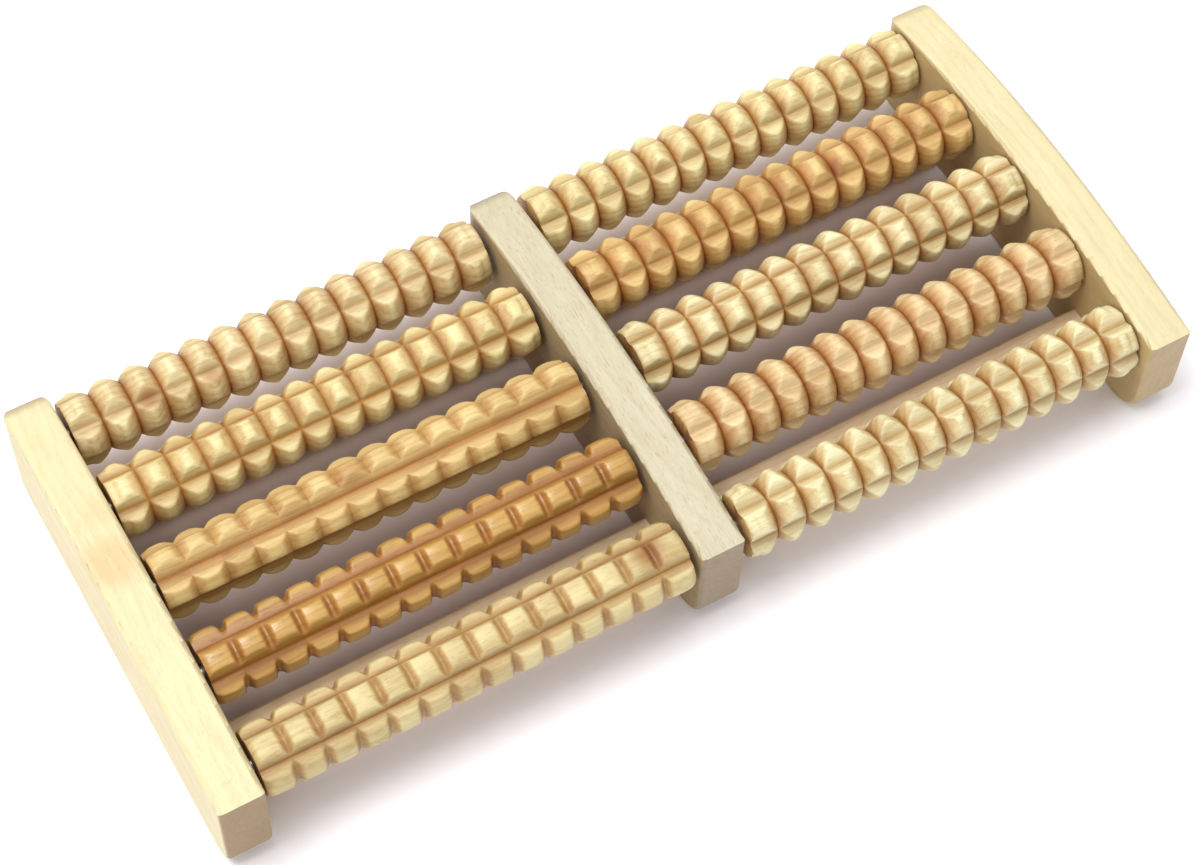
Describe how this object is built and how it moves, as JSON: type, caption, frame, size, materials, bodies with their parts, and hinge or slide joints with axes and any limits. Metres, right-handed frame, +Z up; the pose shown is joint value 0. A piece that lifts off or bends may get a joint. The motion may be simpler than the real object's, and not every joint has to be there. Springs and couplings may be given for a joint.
{
  "type": "foot massage roller",
  "caption": "Low wooden foot massager: arched bars carry rods on which grooved, beaded wooden rollers turn freely on both sides of a centre bar.",
  "frame": {"origin": "centre of the footprint, on the floor plane the bars rest on", "axes": "+X along the rollers towards the right-hand bar, +Y to the back (the rounded ends of the bars), +Z up; the feet of a seated user come from -Y"},
  "size_m": [0.28, 0.129, 0.0383],
  "materials": {
    "end_bar_wood": "pale close-grained timber, planed and lightly sanded, uncoated",
    "centre_bar_wood": "greyer pale timber, planed and lightly sanded, uncoated",
    "rail_wood": "pale tan timber, sawn and sanded, uncoated",
    "dowel_wood": "plain turned dowel rod",
    "axle_steel": "drawn bright steel rod",
    "roller_left_1_wood": "turned and grooved hardwood, sanded, uncoated, slightly darker in the grooves",
    "roller_left_2_wood": "turned and grooved hardwood, sanded, uncoated, slightly darker in the grooves",
    "roller_left_3_wood": "turned and grooved hardwood, sanded, uncoated, slightly darker in the grooves",
    "roller_left_4_wood": "turned and grooved hardwood, sanded, uncoated, slightly darker in the grooves",
    "roller_left_5_wood": "turned and grooved hardwood, sanded, uncoated, slightly darker in the grooves",
    "roller_right_1_wood": "turned and grooved hardwood, sanded, uncoated, slightly darker in the grooves",
    "roller_right_2_wood": "turned and grooved hardwood, sanded, uncoated, slightly darker in the grooves",
    "roller_right_3_wood": "turned and grooved hardwood, sanded, uncoated, slightly darker in the grooves",
    "roller_right_4_wood": "turned and grooved hardwood, sanded, uncoated, slightly darker in the grooves",
    "roller_right_5_wood": "turned and grooved hardwood, sanded, uncoated, slightly darker in the grooves"
  },
  "bodies": {
    "frame": {"axle_rod_1": "axle_steel", "axle_rod_2": "axle_steel", "axle_rod_3": "axle_steel", "axle_rod_4": "axle_steel", "axle_rod_5": "axle_steel", "centre_bar": "centre_bar_wood", "end_bar_left": "end_bar_wood", "end_bar_right": "end_bar_wood", "rail_centre_dowels": "dowel_wood", "rail_end_dowels": "dowel_wood", "rail_left_back": "rail_wood", "rail_left_front": "rail_wood", "rail_right_back": "rail_wood", "rail_right_front": "rail_wood"},
    "roller_left_1_body": {"roller_left_1": "roller_left_1_wood"},
    "roller_left_2_body": {"roller_left_2": "roller_left_2_wood"},
    "roller_left_3_body": {"roller_left_3": "roller_left_3_wood"},
    "roller_left_4_body": {"roller_left_4": "roller_left_4_wood"},
    "roller_left_5_body": {"roller_left_5": "roller_left_5_wood"},
    "roller_right_1_body": {"roller_right_1": "roller_right_1_wood"},
    "roller_right_2_body": {"roller_right_2": "roller_right_2_wood"},
    "roller_right_3_body": {"roller_right_3": "roller_right_3_wood"},
    "roller_right_4_body": {"roller_right_4": "roller_right_4_wood"},
    "roller_right_5_body": {"roller_right_5": "roller_right_5_wood"}
  },
  "joints": [
    {"name": "roller_left_1_spin", "type": "hinge", "parent": "frame", "child": "roller_left_1_body", "pos_m": [-0.0669, 0.0527, 0.0246], "axis": [1, 0, 0], "continuous": true},
    {"name": "roller_left_2_spin", "type": "hinge", "parent": "frame", "child": "roller_left_2_body", "pos_m": [-0.0669, 0.02635, 0.02745], "axis": [1, 0, 0], "continuous": true},
    {"name": "roller_left_3_spin", "type": "hinge", "parent": "frame", "child": "roller_left_3_body", "pos_m": [-0.0669, 0, 0.0284], "axis": [1, 0, 0], "continuous": true},
    {"name": "roller_left_4_spin", "type": "hinge", "parent": "frame", "child": "roller_left_4_body", "pos_m": [-0.0669, -0.02635, 0.02745], "axis": [1, 0, 0], "continuous": true},
    {"name": "roller_left_5_spin", "type": "hinge", "parent": "frame", "child": "roller_left_5_body", "pos_m": [-0.0669, -0.0527, 0.0246], "axis": [1, 0, 0], "continuous": true},
    {"name": "roller_right_1_spin", "type": "hinge", "parent": "frame", "child": "roller_right_1_body", "pos_m": [0.0669, 0.0527, 0.0246], "axis": [1, 0, 0], "continuous": true},
    {"name": "roller_right_2_spin", "type": "hinge", "parent": "frame", "child": "roller_right_2_body", "pos_m": [0.0669, 0.02635, 0.02745], "axis": [1, 0, 0], "continuous": true},
    {"name": "roller_right_3_spin", "type": "hinge", "parent": "frame", "child": "roller_right_3_body", "pos_m": [0.0669, 0, 0.0284], "axis": [1, 0, 0], "continuous": true},
    {"name": "roller_right_4_spin", "type": "hinge", "parent": "frame", "child": "roller_right_4_body", "pos_m": [0.0669, -0.02635, 0.02745], "axis": [1, 0, 0], "continuous": true},
    {"name": "roller_right_5_spin", "type": "hinge", "parent": "frame", "child": "roller_right_5_body", "pos_m": [0.0669, -0.0527, 0.0246], "axis": [1, 0, 0], "continuous": true}
  ]
}
